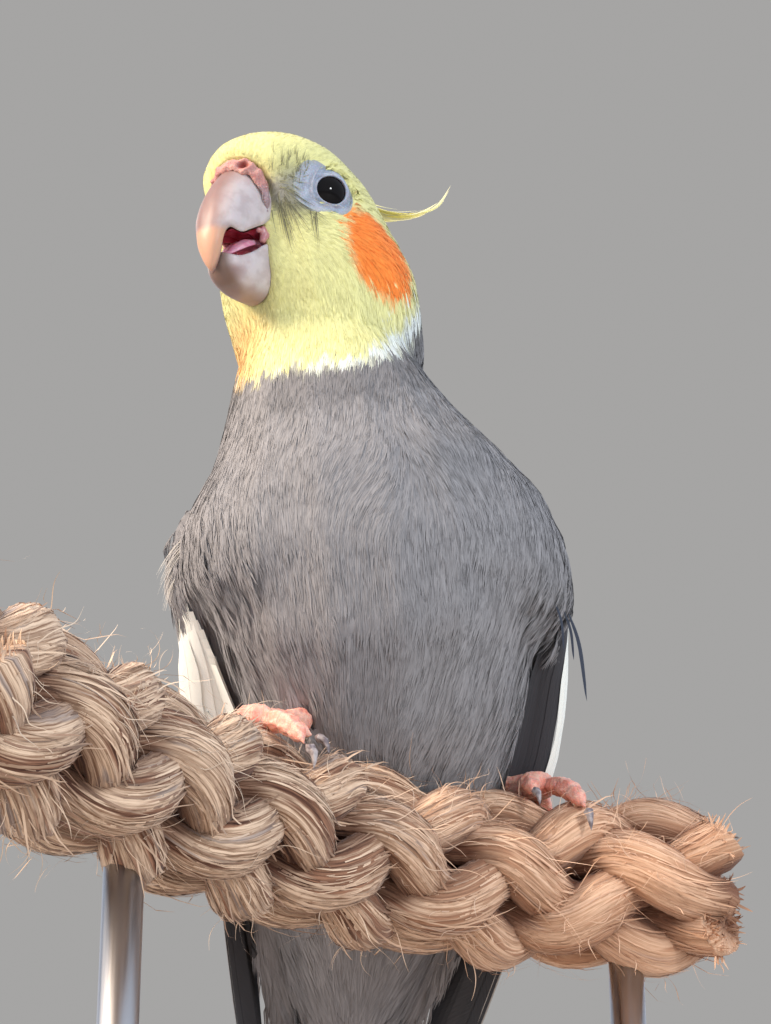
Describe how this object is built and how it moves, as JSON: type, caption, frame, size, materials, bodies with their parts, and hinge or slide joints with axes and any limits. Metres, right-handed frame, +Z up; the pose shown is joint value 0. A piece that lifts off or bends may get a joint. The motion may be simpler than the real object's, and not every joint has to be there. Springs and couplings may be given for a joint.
{
  "type": "cockatiel model on a rope perch",
  "caption": "Life-size grey cockatiel with a yellow face, orange cheeks and laid-back crest, gripping a short length of plaited rope held up by a plain round stand.",
  "frame": {"origin": "middle of the stand base's flat underside", "axes": "+Z up; the chest faces about -Y, the head is turned towards -X, and the tail hangs down towards +Y"},
  "size_m": [0.167, 0.2203, 0.3062],
  "materials": {
    "body_feathers": "soft grey feathers, silky and matt",
    "face_feathers": "soft lemon-yellow feathers",
    "wing_feathers": "smooth grey coverts with a white patch along the edge",
    "flight_feathers": "smooth near-black vanes",
    "tail_feathers": "smooth dark grey vanes",
    "bill": "satin grey-pink horn",
    "cere": "soft pink bare skin",
    "mouth": "moist dark red flesh",
    "eye_ring": "bare wrinkled blue-grey skin",
    "eye": "wet black gloss",
    "foot_skin": "scaly pink-grey skin",
    "claw": "satin grey horn",
    "rope": "plaited sisal with loose fibres",
    "stand_steel": "satin",
    "stand_wood": "oiled"
  },
  "bodies": {
    "root": {"head": "face_feathers", "crest": "face_feathers", "neck": "body_feathers", "trunk": "body_feathers", "tail_coverts": "body_feathers", "thigh_left": "body_feathers", "thigh_right": "body_feathers", "wing_left": "wing_feathers", "wing_right": "wing_feathers", "primaries_left": "flight_feathers", "primaries_right": "flight_feathers", "tail": "tail_feathers", "bill_upper": "bill", "bill_lower": "bill", "tongue": "mouth", "cere": "cere", "eye_left": "eye", "eye_right": "eye", "foot_left": "foot_skin", "foot_right": "foot_skin", "claw_left_front_inner": "claw", "claw_left_front_outer": "claw", "claw_left_back_inner": "claw", "claw_left_back_outer": "claw", "claw_right_front_inner": "claw", "claw_right_front_outer": "claw", "claw_right_back_inner": "claw", "claw_right_back_outer": "claw", "rope_perch": "rope", "stand_rod_left": "stand_steel", "stand_rod_right": "stand_steel", "stand_ferrule_left": "stand_steel", "stand_ferrule_right": "stand_steel", "stand_base": "stand_wood"}
  },
  "joints": []
}
